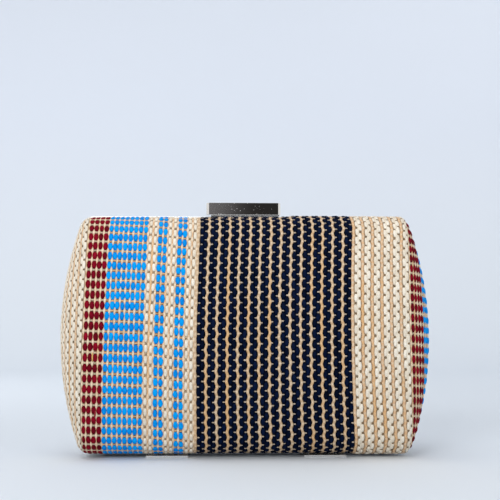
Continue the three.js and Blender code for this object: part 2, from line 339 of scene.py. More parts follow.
# How far the cloth lies lower along its left edge, by height: near the top it leaves the frame bare
leftTuck = np.array([(-80, 0), (18, 0), (38, 0.5), (80, 0.5)]) * mm
leftTuckWide = 14 * mm
clothEdge = {
    "past": 0.2 * mm,           # how far past its edge the cloth's lift has faded to nothing
    "fade": 0.8 * mm,           # the stretch over which it fades
    "drop": 0.3 * mm,           # how much lower the cloth lies where it has faded
    "turnIn": 1.0 * mm,         # the most that it turns straight in past its edge
    "bulgeStart": 0.8,          # where the bulges above and below start, as a share of the way to the edge
    "bulgeGrow": 0.17,          # and the share over which they grow
}


# Point on the cloth at (s, v), raised by lift: surface + normal (lift + bulge). Past its edge the surface
# turns straight in, and just before the edge the lift fades, as cloth does where it tucks behind the frame.
def onCloth(s, v, lift):
    left = edgeAt(v) - np.abs(s)
    room = np.minimum(left, endArc - np.abs(v))
    a = np.clip((v + endArc) / (clothV[1] - clothV[0]), 0, len(clothV) - 1.001)
    b = np.clip(np.minimum(np.abs(s), edgeAt(v)) / clothStep, 0, len(clothS) - 1.001)
    i, j = a.astype(int), b.astype(int)
    a, b = (a - i)[..., None], (b - j)[..., None]

    def blended(grid):
        low = grid[i, j] * (1 - b) + grid[i, j + 1] * b
        return low * (1 - a) + (grid[i + 1, j] * (1 - b) + grid[i + 1, j + 1] * b) * a

    point, normal = blended(clothPoints), unit(blended(clothNormals))
    mirror = np.where(s < 0, -1.0, 1.0)[..., None] ** np.array([1, 0, 0])
    tuck = np.clip((room + clothEdge["past"]) / clothEdge["fade"], 0, 1)
    raised = np.where(lift > 0, lift * tuck, lift) - (1 - tuck) * clothEdge["drop"]
    raised = raised - np.clip(-room, 0, clothEdge["turnIn"])
    bulge = np.where(v > 0, np.interp(s, *topBulge.T), np.interp(s, *bottomBulge.T))
    nearEdge = np.clip((np.abs(v) / endArc - clothEdge["bulgeStart"]) / clothEdge["bulgeGrow"], 0, 1)
    raised = raised + bulge * nearEdge ** 2 * (3 - 2 * nearEdge) * tuck
    raised = raised - np.interp(v, *leftTuck.T) * (s < 0) * np.clip(1 - left / leftTuckWide, 0, 1)
    return (point + normal * raised[..., None]) * mirror


# Stripes from the left wall to the right wall: colour, columns, column pitch and weave. A seam is extra
# width for yarn before the stripe.
stripes = [
    {"colour": "cream", "columns": 12, "pitch": 2.36 * mm, "weave": "creamRib", "seam": 0.0},
    {"colour": "red", "columns": 4, "pitch": 2.46 * mm, "weave": "flat", "seam": 0.0},
    {"colour": "blue", "columns": 8, "pitch": 2.41 * mm, "weave": "flat", "seam": 0.0},
    {"colour": "cream", "columns": 2, "pitch": 2.40 * mm, "weave": "spotted", "seam": 0.0},
    {"colour": "blue", "columns": 2, "pitch": 2.45 * mm, "weave": "flat", "seam": 0.0},
    {"colour": "cream", "columns": 2, "pitch": 2.37 * mm, "weave": "spotted", "seam": 0.0},
    {"colour": "blue", "columns": 2, "pitch": 2.45 * mm, "weave": "flat", "seam": 0.0},
    {"colour": "cream", "columns": 2, "pitch": 2.47 * mm, "weave": "spotted", "seam": 0.0},
    {"colour": "navy", "columns": 30, "pitch": 2.55 * mm, "weave": "navyRib", "seam": 0.65 * mm},
    {"colour": "cream", "columns": 12, "pitch": 2.385 * mm, "weave": "creamRib", "seam": 0.0},
    {"colour": "red", "columns": 4, "pitch": 2.6 * mm, "weave": "flat", "seam": 0.0},
    {"colour": "blue", "columns": 8, "pitch": 2.41 * mm, "weave": "flat", "seam": 0.0},
]
# Each weave's float sizes. A rib is a pair of columns half a row apart, close on each side of its middle.
# Wave and swell are how far a yarn winds and how much wider it is at the gaps, and dive is how much lower the
# floats' ends lie. A core is the pale yarn that fills the middle of a cream rib.
weaves = {
    "core": {"yarn": 1.3 * mm, "wave": 0.0, "swell": 0.0},
    "flat": {"width": 2.45 * mm, "length": 4.0 * mm, "rib": False, "close": 0.0, "yarn": 1.05 * mm,
             "wave": 0.0, "swell": 0.35, "dive": 0.42 * mm},
    "spotted": {"width": 1.85 * mm, "length": 4.1 * mm, "rib": False, "close": 0.0, "yarn": 1.3 * mm,
                "wave": 0.0, "swell": 0.15, "dive": 0.35 * mm},
    "navyRib": {"width": 2.2 * mm, "length": 4.4 * mm, "rib": True, "close": 0.83 * mm, "yarn": 1.5 * mm,
                "wave": 0.34 * mm, "swell": 0.0, "dive": 0.5 * mm},
    "creamRib": {"width": 1.9 * mm, "length": 4.25 * mm, "rib": True, "close": 0.8 * mm, "yarn": 1.5 * mm,
                 "wave": 0.2 * mm, "swell": 0.0, "dive": 0.1 * mm},
}
# Place across and the height there of one gap between rows, which rises and falls as it was woven, in mm
rowLine = np.array([
    (-106, 0.3), (-79.8, 1.6), (-50.7, 0.6), (-26, -2.6), (5, -2.3), (25, -0.6), (50.8, 2.5), (79.5, 0.4),
    (96, -1.0),
]) * mm
cloth = {
    "start": -108.07 * mm,      # where the first stripe starts, left of the middle
    "rowPitch": 5.07 * mm,
    "rowGain": 0.0084 * mm,     # how much each next row upwards is closer than the one before, halved
    "rowsEachWay": 17,
    "top": 0.42 * mm,           # how far the floats stand above the shell's surface
    "thick": 0.52 * mm,         # half a float's thickness
    "ground": 0.6 * mm,         # depth of the ground below the shell's surface
    "ribYarn": 0.52 * mm,       # depth of a yarn's middle below the floats' top, beside ribs
    "flatYarn": 0.70 * mm,      # the same between flat columns
    "coreYarn": 0.56 * mm,      # the same in the middle of a cream rib
    "fanHeight": 46 * mm,       # the next three hold at this height
    "fan": (-0.010, 0.018),     # share by which the columns spread: slope and parabola
    "lean": 0.53 * mm,          # by how much they shift, likewise: slope
    "bow": 1.26 * mm,           # and parabola
    "fanLimit": 54 * mm,        # past this height they run on straight
    "wallStart": 79.5 * mm,     # where the right wall starts, across
    "wallLean": 0.25,           # share by which its columns spread at the fan's height below the middle
}
stripeEdges = cloth["start"] + np.concatenate(
    [[0], np.cumsum([stripe["columns"] * stripe["pitch"] + stripe["seam"] for stripe in stripes])])


# The columns' spread at height v, as a factor on the place across and an offset, each a slope plus a parabola
def fanAt(v):
    z = np.clip(uprightSection(v)[1], -cloth["fanLimit"], cloth["fanLimit"]) / cloth["fanHeight"]
    factor = 1 + cloth["fan"][0] * z + cloth["fan"][1] * z ** 2
    return factor, cloth["lean"] * z + cloth["bow"] * z ** 2


# Place across of a column at height v: c factor + offset, and on the right wall a little more towards the
# bottom
def spread(c, v):
    factor, offset = fanAt(v)
    low = np.minimum(uprightSection(v)[1] / cloth["fanHeight"], 0)
    return c * factor + offset + cloth["wallLean"] * np.maximum(c - cloth["wallStart"], 0) * low ** 2


# Height of row k at place c: line + pitch k - gain k k, even steps that close up a little towards the top
def rowHeight(k, c):
    return np.interp(c, *rowLine.T) + cloth["rowPitch"] * k - cloth["rowGain"] * k ** 2


# The same backwards: the row number at height v, by the quadratic formula
def rowNumber(v, c):
    pitch, gain = cloth["rowPitch"], cloth["rowGain"]
    return (pitch - np.sqrt(pitch ** 2 - 4 * gain * (v - np.interp(c, *rowLine.T)))) / (2 * gain)


# A closed pod: rings at along = sin(turn) with radius cos(turn) ^ blunt, so a small blunt makes full ends.
# Returns along, across, up and body of its points, from -1 to 1, its shade and its faces. Shade is painted
# shade, cos(turn) ^ 0.7 (1 - 0.4 cos(angle) ^ 2): 0 where it dives under, less on its sides, 1 on top.
def podShape(rings, sides, blunt=0.72):
    turn = np.radians(np.linspace(-90, 90, rings + 2)[1:-1])
    angle = np.arange(sides) * 2 * math.pi / sides
    thick = np.cos(turn) ** blunt
    along = np.concatenate([[-1], np.repeat(np.sin(turn), sides), [1]])
    across = np.concatenate([[0], np.outer(thick, np.cos(angle)).ravel(), [0]])
    up = np.concatenate([[0], np.outer(thick, np.sin(angle)).ravel(), [0]])
    body = np.concatenate([[0], np.repeat(np.cos(turn), sides), [0]])
    # Painted shade: darker towards the float's ends and its sides
    onTop = np.outer(np.cos(turn) ** 0.7, 1 - 0.4 * np.cos(angle) ** 2)
    shade = np.concatenate([[0], onTop.ravel(), [0]])
    first = np.arange(sides)
    second = (first + 1) % sides
    last = rings * sides + 1
    ends = np.concatenate([
        np.stack([0 * first, 1 + first, 1 + second], 1),
        np.stack([0 * first + last, last - sides + second, last - sides + first], 1),
    ])
    return {"along": along, "across": across, "up": up, "body": body, "shade": shade,
            "faces": [gridFaces(rings, sides, closed=True) + 1, ends]}


pointedShape = podShape(5, 8)
bluntShape = podShape(5, 8, blunt=0.5)
tickShape = podShape(3, 6)
fibreShift = 3.7    # mm between one float's fibres and the next one's in their pattern, so that no two match


# Many pods on the cloth. Each value in pods is an array with one entry for each pod: s, v, halfWidth,
# halfLength, lift, thick (half), dive, lean (sideways for each length). A point lies at
# s + halfWidth across + lean halfLength along, v + halfLength along, and lift - dive (1 - body) + thick up.
def podMesh(shape, pods):
    col = {name: values[:, None] for name, values in pods.items()}
    along, across, up, body = (shape[name] for name in ("along", "across", "up", "body"))
    s = col["s"] + col["halfWidth"] * across + col["lean"] * col["halfLength"] * along
    v = col["v"] + col["halfLength"] * along
    lift = col["lift"] - col["dive"] * (1 - body) + col["thick"] * np.where(up > 0, up, 0.5 * up)
    points = onCloth(s, v, lift).reshape(-1, 3)
    count = len(pods["s"])
    shift = (np.arange(count) * len(along))[:, None, None]
    faces = [(shift + part).reshape(-1, part.shape[1]) for part in shape["faces"]]
    order = np.arange(count)[:, None]
    fibreU = col["halfWidth"] * across / mm + fibreShift * order
    fibreV = col["halfLength"] * along / mm + 0 * order
    return points, faces, np.stack([fibreU, fibreV], -1).reshape(-1, 2)


def perPoint(values, shape):
    return np.repeat(values, len(shape["along"]), axis=0)


# Every column of the cloth with its place, stagger in rows, side of its rib, colour and weave, and every
# yarn between columns
def layOut():
    columns, yarns = [], []
    for stripe, start in zip(stripes, stripeEdges):
        pitch, colour, weave = stripe["pitch"], stripe["colour"], stripe["weave"]
        kind = weaves[weave]
        if stripe["seam"]:
            yarns.append((start, "spotted", colour, True))
            start += stripe["seam"]
        for i in range(stripe["columns"]):
            if kind["rib"]:
                side = 1 if i % 2 else -1
                centre = start + (i // 2 * 2 + 1) * pitch + side * kind["close"]
                columns.append((centre, 0.0 if i % 2 else 0.5, side, colour, weave))
            else:
                columns.append((start + (i + 0.5) * pitch, 0.0, 0, colour, weave))
            if i % 2 == 0 or not kind["rib"]:
                yarns.append((start + i * pitch, weave, colour, i == 0))
            if i % 2 and weave == "creamRib":
                yarns.append((start + i * pitch, "core", colour, True))
    yarns.append((stripeEdges[-1], "flat", "blue", True))
    return columns, yarns


clothColumns, clothYarns = layOut()


# How much hand-laid floats and ties stray: lengths for the places, shares for the sizes
floatStray = {"s": 0.05 * mm, "v": 0.12 * mm, "halfWidth": 0.04, "halfLength": 0.035, "lift": 0.03 * mm,
              "lean": 0.02}
tickStray = {"s": 0.06 * mm, "v": 0.05 * mm, "size": 0.08, "tint": (0.75, 1.1)}
# How far past the cloth's edge a float's middle may lie, and how far within it a tick's lies at least
floatPast = {"s": 0.5 * mm, "v": 1.2 * mm}
tickWithin = 0.5 * mm


# The floats of one half: every column's pods on every row, with small irregularities, as one dictionary of
# arrays with a colour for each pod
def layFloats(rng):
    rows = np.arange(-cloth["rowsEachWay"], cloth["rowsEachWay"] + 1)
    centre = np.array([column[0] for column in clothColumns])[:, None]
    stagger = np.array([column[1] for column in clothColumns])[:, None]
    grid = centre + 0.0 * rows
    v = rowHeight(rows + stagger + 0.5, centre)
    s = spread(grid, v)

    def ofWeave(name):
        return np.array([weaves[column[4]][name] for column in clothColumns])[:, None] + 0 * grid

    size = grid.shape
    floats = {
        "s": s + rng.normal(0, floatStray["s"], size),
        "v": v + rng.normal(0, floatStray["v"], size),
        "halfWidth": ofWeave("width") / 2 * rng.normal(1, floatStray["halfWidth"], size),
        "halfLength": ofWeave("length") / 2 * rng.normal(1, floatStray["halfLength"], size),
        "lift": cloth["top"] - cloth["thick"] + rng.normal(0, floatStray["lift"], size),
        "thick": np.full(size, cloth["thick"]),
        "dive": ofWeave("dive"),
        "lean": rng.normal(0, floatStray["lean"], size),
        "tone": rng.random(size),
    }
    colour = np.array([[column[3]] * len(rows) for column in clothColumns])
    inside = (np.abs(v) < endArc + floatPast["v"]) & (np.abs(s) < edgeAt(v) + floatPast["s"])
    return {name: values[inside] for name, values in floats.items()}, colour[inside]


# Ticks of weft in the gaps between floats: bars across flat columns, and specks that reach out of the yarn
# into the ribs. Out is how far they lie from the column's middle towards the yarn, and deep is the depth of
# their middle below the floats' top.
ticks = {
    "flat": {"halfWidth": 1.05 * mm, "halfLength": 0.48 * mm, "deep": 0.55 * mm, "thick": 0.22 * mm,
             "out": 0.0},
    "spotted": {"halfWidth": 0.6 * mm, "halfLength": 0.42 * mm, "deep": 0.7 * mm, "thick": 0.22 * mm,
                "out": 0.0},
    "navyRib": {"halfWidth": 0.75 * mm, "halfLength": 0.4 * mm, "deep": 0.5 * mm, "thick": 0.25 * mm,
                "out": 0.25 * mm},
    "creamRib": {"halfWidth": 0.62 * mm, "halfLength": 0.6 * mm, "deep": 0.42 * mm, "thick": 0.22 * mm,
                 "out": -0.02 * mm},
}
tickDive = 0.1 * mm
tickPaint = {
    ("red", "flat"): paint(200, 178, 150),
    ("blue", "flat"): paint(198, 158, 120),
    ("cream", "spotted"): paint(164, 136, 108),
    ("navy", "navyRib"): paint(180, 164, 146),
    # The cream rib's ties are real weft, painted dark brown as painted shade for the holes between its floats
    ("cream", "creamRib"): paint(128, 106, 80),
}


def layTicks(rng):
    rows = np.arange(-cloth["rowsEachWay"], cloth["rowsEachWay"] + 1)
    centre = np.array([column[0] for column in clothColumns])[:, None]
    stagger = np.array([column[1] for column in clothColumns])[:, None]
    side = np.array([column[2] for column in clothColumns])[:, None]
    grid = centre + 0.0 * rows
    v = rowHeight(rows + stagger, centre)

    def ofTick(name):
        return np.array([ticks[column[4]][name] for column in clothColumns])[:, None] + 0 * grid

    size = grid.shape
    s = spread(grid, v) + side * ofTick("out")
    pods = {
        "s": s + rng.normal(0, tickStray["s"], size),
        "v": v + rng.normal(0, tickStray["v"], size),
        "halfWidth": ofTick("halfWidth") * rng.normal(1, tickStray["size"], size),
        "halfLength": ofTick("halfLength") * rng.normal(1, tickStray["size"], size),
        "lift": cloth["top"] - ofTick("deep"),
        "thick": ofTick("thick"),
        "dive": np.full(size, tickDive),
        "lean": np.zeros(size),
    }
    tint = np.array([[tickPaint[column[3], column[4]]] * len(rows) for column in clothColumns])
    tint = tint * rng.uniform(*tickStray["tint"], size)[..., None]
    inside = (np.abs(v) < endArc - tickWithin) & (np.abs(s) < edgeAt(v) - tickWithin)
    return {name: values[inside] for name, values in pods.items()}, tint[inside]


# Two loose threads on the front's first red stripe: the ends of a warp yarn and of a strand of raffia
looseThreads = [
    {"s": -75.1 * mm, "v": -10.9 * mm, "halfLength": 2.4 * mm, "lean": 0.02, "paint": paint(214, 166, 96)},
    {"s": -74.0 * mm, "v": -38.9 * mm, "halfLength": 1.9 * mm, "lean": 0.12, "paint": paint(140, 8, 32)},
]
threadSize = {"halfWidth": 0.35 * mm, "thick": 0.3 * mm, "dive": 0.3 * mm, "lift": cloth["top"] + 0.1 * mm}


def layThreads():
    def column(name):
        return np.array([thread[name] for thread in looseThreads])

    pods = {name: column(name) for name in ("s", "v", "halfLength", "lean")}
    pods.update({name: np.full(len(looseThreads), value) for name, value in threadSize.items()})
    return pods, column("paint")


# The yarns between the columns, as tubes with a flat section. A yarn beside ribs winds between their
# staggered floats; one between flat columns runs straight and swells at the gaps between rows.
# Yarn colours: tan and navyTan hold painted shade under the floats, the two lighter ones are painted
# highlights where the yarn comes up, and core and gold are the yarn's own colours
yarnPaint = {
    "tan": paint(204, 164, 124),
    "highlight": paint(226, 208, 182),
    "core": paint(222, 210, 190),
    "gold": paint(208, 158, 96),
    "navyTan": paint(186, 156, 122),
    "ribHighlight": paint(216, 194, 166),
}
yarnForm = {
    "samplesPerRow": 6,
    "sides": 6,
    "thick": 0.32 * mm,         # half a yarn's thickness
    "past": 0.3 * mm,           # how far a yarn runs past the cloth's edge
    "edgeWave": 0.4,            # share of its wave that a yarn at a stripe's edge keeps
    "rise": 0.08 * mm,          # how much a yarn between flat columns rises at the gaps
    "drift": 0.02 * mm,         # how much a yarn strays from sample to sample
    "driftMost": 0.1 * mm,
    "widthStray": 0.04,
    "golden": 0.6,              # how golden a yarn turns at most, where it has drifted
    "goldenDrift": 0.2 * mm,    # as far as this to one side
    "fibreShift": 3.1,          # mm between one yarn's fibres and the next one's in their pattern
}


# Every yarn's run as arrays of yarns by samples: s = spread centre - wave cos(phase) + drift, and
# half width = half yarn (1 + swell cos(phase)), with a full turn of phase for each row
def yarnRuns(rng):
    centre = np.array([yarn[0] for yarn in clothYarns])[:, None]
    kinds = [weaves[yarn[1]] for yarn in clothYarns]
    within = edgeAt(clothV) + yarnForm["past"] > np.abs(spread(centre, clothV))
    lowV = clothV[np.argmax(within, 1)][:, None] - yarnForm["past"]
    highV = clothV[len(clothV) - 1 - np.argmax(within[:, ::-1], 1)][:, None] + yarnForm["past"]
    count = int(2 * endArc / cloth["rowPitch"] * yarnForm["samplesPerRow"])
    v = lowV + (highV - lowV) * np.linspace(0, 1, count)
    phase = 2 * math.pi * rowNumber(v, centre)
    wave = np.array([kind["wave"] for kind in kinds])[:, None]
    wave = np.where(np.array([[yarn[3]] for yarn in clothYarns]), wave * yarnForm["edgeWave"], wave)
    swell = np.array([kind["swell"] for kind in kinds])[:, None]
    half = np.array([kind["yarn"] for kind in kinds])[:, None] / 2
    drift = np.cumsum(rng.normal(0, yarnForm["drift"], v.shape), 1)
    drift -= np.linspace(0, 1, count) * drift[:, -1:]
    strayed = np.clip(drift, -yarnForm["driftMost"], yarnForm["driftMost"])
    cores = np.array([[yarn[1] == "core"] for yarn in clothYarns])
    ribs = (wave > 0) + 0 * v
    deep = np.where(cores, cloth["coreYarn"], cloth["flatYarn"] - yarnForm["rise"] * np.cos(phase))
    return {
        "s": spread(centre, v) - wave * np.cos(phase) + strayed,
        "v": v,
        "halfWidth": half * (1 + swell * np.cos(phase)) * rng.normal(1, yarnForm["widthStray"], v.shape),
        "lift": cloth["top"] - np.where(ribs > 0, cloth["ribYarn"], deep),
        "phase": phase, "drift": drift, "ribs": ribs, "cores": cores,
    }


# The colour at each sample: painted shade under the floats, a painted highlight where the yarn comes up
# between them, and here and there golden
def yarnTint(run):
    ribs = run["ribs"][..., None] > 0
    turns = np.where(run["ribs"] > 0, 2 * run["phase"], run["phase"])
    # Share of painted highlight: 1 where the yarn comes up between the floats, 0 in the painted shade under
    # them
    highlight = (0.5 + 0.5 * np.cos(turns)) ** 1.5
    navy = np.array([[[yarn[2] == "navy"]] for yarn in clothYarns])
    dull = np.where(navy, yarnPaint["navyTan"], yarnPaint["tan"])
    light = np.where(ribs, yarnPaint["ribHighlight"], yarnPaint["highlight"])
    golden = np.clip(run["drift"] / yarnForm["goldenDrift"], 0, 1)[..., None] * yarnForm["golden"]
    tint = dull + (light - dull) * highlight[..., None]
    tint = tint + (yarnPaint["gold"] - tint) * golden
    return np.where(run["cores"][..., None], yarnPaint["core"], tint)


# The tubes round those runs: a ring of s + halfWidth cos(angle), lift + thick sin(angle) at each sample
def layYarns(rng):
    run, sides = yarnRuns(rng), yarnForm["sides"]
    yarnCount, count = run["v"].shape
    angle = np.arange(sides) * 2 * math.pi / sides
    ringS = run["s"][..., None] + run["halfWidth"][..., None] * np.cos(angle)
    ringV = run["v"][..., None] + 0 * ringS
    ringLift = run["lift"][..., None] + yarnForm["thick"] * np.sin(angle)
    points = onCloth(ringS, ringV, ringLift).reshape(-1, 3)
    tube = gridFaces(count, sides, closed=True)
    shift = (np.arange(yarnCount) * count * sides)[:, None, None]
    ring = np.arange(sides)
    caps = np.stack([ring, (count - 1) * sides + ring[::-1]])
    faces = [(shift + tube).reshape(-1, 4), (shift + caps).reshape(-1, sides)]
    order = np.arange(yarnCount)[:, None, None]
    uv = np.stack([ringS / mm + yarnForm["fibreShift"] * order, ringV / mm], -1).reshape(-1, 2)
    return points, faces, uv, np.repeat(yarnTint(run).reshape(-1, 4), sides, axis=0)


# Raffia's colours. Hollow is how bright a float stays in its painted shade where it dives under, and gloss
# how strongly it shines.
raffiaLooks = {
    "cream": {"dark": paint(206, 192, 170), "light": paint(235, 228, 214), "rough": 0.6, "gloss": 0.3,
              "hollow": 0.93, "shape": bluntShape},
    "red": {"dark": paint(58, 0, 10), "light": paint(142, 5, 34), "rough": 0.6, "gloss": 0.05,
            "hollow": 0.5, "shape": bluntShape},
    "blue": {"dark": paint(0, 108, 200), "light": paint(0, 166, 248), "rough": 0.6, "gloss": 0.05,
             "hollow": 0.7, "shape": bluntShape},
    "navy": {"dark": paint(0, 2, 9), "light": paint(8, 23, 54), "rough": 0.7, "gloss": 0.03,
             "hollow": 0.1, "shape": pointedShape},
}


raffiaGrain = {
    "stretch": (5.0, 0.45, 1.0),    # fibres across and along a float, for each mm
    "fibres": 1.6,                  # how much the fibres, the blotches and the float's own tone count
    "blotches": 0.8,
    "tone": 0.5,
    "start": 0.35,
    "roughStray": 0.3,
    "relief": 0.08 * mm,
}


# Fibres run along the float. Colour = dark to light by start + fibres (noise - 1/2) +
# blotches (noise - 1/2) + tone, with brightness hollow + (1 - hollow) shade, the pod's painted shade
def raffiaMaterial(colour):
    look = raffiaLooks[colour]
    material, start = newMaterial("raffia_" + colour)
    place = start.node("ShaderNodeUVMap", {"uv_map": "fibres"})
    tone = start.node("ShaderNodeAttribute", {"attribute_name": "tone"}, out="Fac")
    shade = start.node("ShaderNodeAttribute", {"attribute_name": "shade"}, out="Fac")
    stretched = start.node("ShaderNodeMapping", {}, {"Vector": place, "Scale": raffiaGrain["stretch"]})
    fibres = start.noise(stretched, 1.0, 3.0)
    blotches = start.noise(place, 0.6, 2.0)
    share = (fibres - 0.5) * raffiaGrain["fibres"] + (blotches - 0.5) * raffiaGrain["blotches"]
    share = share + tone * raffiaGrain["tone"] + raffiaGrain["start"]
    clipped = share.math("MULTIPLY", share, 1.0, clamp=True)
    # The pod's painted shade darkens the colour where the float dives under and on its sides
    shaded = start.node("ShaderNodeHueSaturation", {}, {
        "Value": look["hollow"] + (1 - look["hollow"]) * shade,
        "Color": start.mix(clipped, look["dark"], look["light"]),
    })
    surface(start, {
        "Base Color": shaded,
        "Roughness": look["rough"] + (fibres - 0.5) * raffiaGrain["roughStray"],
        "Specular IOR Level": look["gloss"],
    }, height=fibres, depth=raffiaGrain["relief"])
    return material


# Waxed yarn: its own tint, broken by fine slanting fibres
def yarnMaterial():
    material, start = newMaterial("waxed_yarn")
    place = start.node("ShaderNodeUVMap", {"uv_map": "fibres"})
    tint = start.node("ShaderNodeAttribute", {"attribute_name": "tint"}, out="Color")
    slant = {"Vector": place, "Rotation": (0, 0, 0.5), "Scale": (4.0, 0.8, 1.0)}
    slanted = start.node("ShaderNodeMapping", {}, slant)
    fibres = start.noise(slanted, 1.0, 3.0)
    shade = start.node("ShaderNodeHueSaturation", {}, {"Value": 0.72 + fibres * 0.55, "Color": tint})
    surface(start, {"Base Color": shade, "Roughness": 0.6, "Specular IOR Level": 0.3},
            height=fibres, depth=0.06 * mm)
    return material


# The ground behind the yarns, and the plain inner face: a tint with fine plain-weave relief
def groundMaterial():
    material, start = newMaterial("ground_cloth")
    place = start.node("ShaderNodeTexCoord", out="Object")
    tint = start.node("ShaderNodeAttribute", {"attribute_name": "tint"}, out="Color")
    across, upward = (start.node("ShaderNodeTexWave", {"bands_direction": axis},
                                 {"Vector": place, "Scale": 500.0}, out="Fac") for axis in "XZ")
    cloudy = start.noise(place, 300.0, 2.0)
    shade = start.node("ShaderNodeHueSaturation", {}, {"Value": 0.7 + cloudy * 0.6, "Color": tint})
    surface(start, {"Base Color": shade, "Roughness": 0.85, "Specular IOR Level": 0.2},
            height=across + upward, depth=0.05 * mm)
    return material


# Polished metal: clear reflections, with faint smudges in the gloss, fine hairline wear and specks of dust.
# Roughness = rough + smudge tarnish + hair (wear - 1/2) + dust specks
metalWear = {
    "smudge": 0.08,
    "hair": 0.04,
    "dust": 0.7,
    "tarnish": 0.25,        # how far the smudges darken the metal towards dull
    "dull": 0.8,
    "relief": 0.002 * mm,
}


def metalMaterial(name, colour, rough):
    material, start = newMaterial(name)
    place = start.node("ShaderNodeTexCoord", out="Object")
    smudges = start.noise(place, 60.0, 3.0)
    drawn = {"Vector": place, "Rotation": (0.2, 0.4, 0.1), "Scale": (80, 2500, 2500)}
    hairs = start.node("ShaderNodeMapping", {}, drawn)
    wear = start.noise(hairs, 1.0, 2.0)
    tarnish = smudges.step(0.45, 0.75)
    dust = start.noise(place, 1300.0, 1.0)
    specks = dust.step(0.7, 0.78)
    dull = tuple(c * metalWear["dull"] for c in colour[:3]) + (1.0,)
    tone = start.mix(tarnish * metalWear["tarnish"], colour, dull)
    gloss = rough + tarnish * metalWear["smudge"] + (wear - 0.5) * metalWear["hair"]
    gloss = gloss + specks * metalWear["dust"]
    surface(start, {"Base Color": tone, "Metallic": 1.0, "Roughness": gloss},
            height=wear, depth=metalWear["relief"])
    return material


raffia = {colour: raffiaMaterial(colour) for colour in raffiaLooks}
yarnFinish = yarnMaterial()
groundFinish = groundMaterial()
frameMetal = metalMaterial("polished_frame_metal", paint(232, 230, 227), 0.22)
claspMetal = metalMaterial("polished_clasp_metal", paint(224, 222, 219), 0.05)
pinSteel = metalMaterial("satin_steel", paint(180, 180, 182), 0.3)
print("materials made")


# The shell behind the yarns: the ground's outer face, the plain inner face and the edge that joins them
groundPaint = {
    "cream": paint(228, 204, 170),
    "red": paint(150, 112, 84),
    "blue": paint(160, 128, 92),
    "navy": paint(14, 16, 26),
}
innerPaint = paint(74, 66, 58)
groundRows = 90


# A stripe's ground colour is found by undoing the columns' spread: c = (s - offset) / factor
def shellBase():
    v = np.linspace(-endArc, endArc, groundRows)
    sheets = []
    for inset in (cloth["ground"], shellForm["wall"]):
        right = halfSurface(v, inset)[0]
        left = right[:, :0:-1] * np.array([-1, 1, 1])
        sheets.append(np.concatenate([left, right], 1))
    across = halfSurface(v)[1]
    s = np.concatenate([-across[:, :0:-1], across], 1)
    rows, columns = s.shape
    grid = np.arange(rows * columns).reshape(rows, columns)
    edge = np.concatenate([grid[0, :-1], grid[:-1, -1], grid[-1, :0:-1], grid[:0:-1, 0]])
    nextEdge = np.roll(edge, -1)
    inner = rows * columns
    skin = gridFaces(rows, columns)
    rim = np.stack([edge, edge + inner, nextEdge + inner, nextEdge], 1)
    faces = [skin[:, ::-1], skin + inner, rim[:, ::-1]]
    factor, offset = fanAt(v[:, None])
    stripe = np.clip(np.searchsorted(stripeEdges, (s - offset) / factor) - 1, 0, len(stripes) - 1)
    tints = np.array([groundPaint[each["colour"]] for each in stripes])[stripe].reshape(-1, 4)
    tint = np.concatenate([tints, np.tile(innerPaint, (inner, 1))])
    return np.concatenate([sheet.reshape(-1, 3) for sheet in sheets]), faces, tint


# Everything woven on one half. The back half is the same cloth turned about the upright axis.
def dressHalf(side, turned, seed):
    rng = np.random.default_rng(seed)
    body, node = side + "_half", side + "_shell"
    facing = np.array([-1, -1, 1]) if turned else np.array([1, 1, 1])

    def add(name, points, faces, material, **more):
        piece = makePiece(f"{side}_{name}", points * facing, faces, material, **more)
        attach(piece, body)
        return piece

    points, faces, tint = shellBase()
    base = add("shell_ground", points, faces, groundFinish, fields={"tint": tint})
    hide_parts(node)
    floats, colours = layFloats(rng)
    tone = floats.pop("tone")
    for colour, look in raffiaLooks.items():
        chosen, shape = colours == colour, look["shape"]
        points, faces, uv = podMesh(shape, {name: values[chosen] for name, values in floats.items()})
        fields = {"tone": perPoint(tone[chosen], shape), "shade": np.tile(shape["shade"], chosen.sum())}
        add(f"{colour}_raffia", points, faces, raffia[colour], uv=uv, fields=fields)
    pods, tint = layTicks(rng)
    points, faces, uv = podMesh(tickShape, pods)
    add("weft_ties", points, faces, yarnFinish, uv=uv, fields={"tint": perPoint(tint, tickShape)})
    if not turned:
        pods, tint = layThreads()
        points, faces, uv = podMesh(pointedShape, pods)
        add("loose_threads", points, faces, yarnFinish, uv=uv, fields={"tint": perPoint(tint, pointedShape)})
    points, faces, uv, tint = layYarns(rng)
    add("warp_yarns", points, faces, yarnFinish, uv=uv, fields={"tint": tint})


dressHalf("front", False, 11)
print("front half woven")
dressHalf("back", True, 12)
print("back half woven")

# CAD nodes that keep their shape get their finish
finishes = {"polished_frame": frameMetal, "polished_clasp": claspMetal, "steel_pin": pinSteel}
for part in frame["record"]["subparts"]:
    if part["material_slot"] in finishes:
        node = frame["nodes"][part["node"]]
        node.data.materials.clear()
        node.data.materials.append(finishes[part["material_slot"]])
print("metal finished")


# The clasp's bar: a block whose front face runs down as a thin lip before the seat plates. The section is
# carried along X, set in at both ends and cut up at the back where the bracket's ears stand.
bar = {
    "endBevel": 1.2 * mm,
    "endLower": 0.09 * mm,      # how much lower the ends are than the top
    "rise": 0.7 * mm,           # how far it stands above the plain bar
    "aside": -0.9 * mm,         # it sits a little to the left
    "lipLow": 0.55 * mm,        # how far the front face reaches below the bar's underside
    "lipOut": 0.3 * mm,         # how far it stands out before the bar
    "lipGap": 0.12 * mm,        # between the lip and the seat behind it
    "topBevel": 0.06 * mm,
    "earRoomHalf": 1.8 * mm,    # half width and radius of the room round an ear
    "earRoomRadius": 1.8 * mm,
    "earOffset": 9 * mm,
    "axis": (3 * mm, 124.4 * mm),       # the pin's middle: how far back and how high
    "heel": 1.8 * mm,           # how far the lower back edge is cut off
}


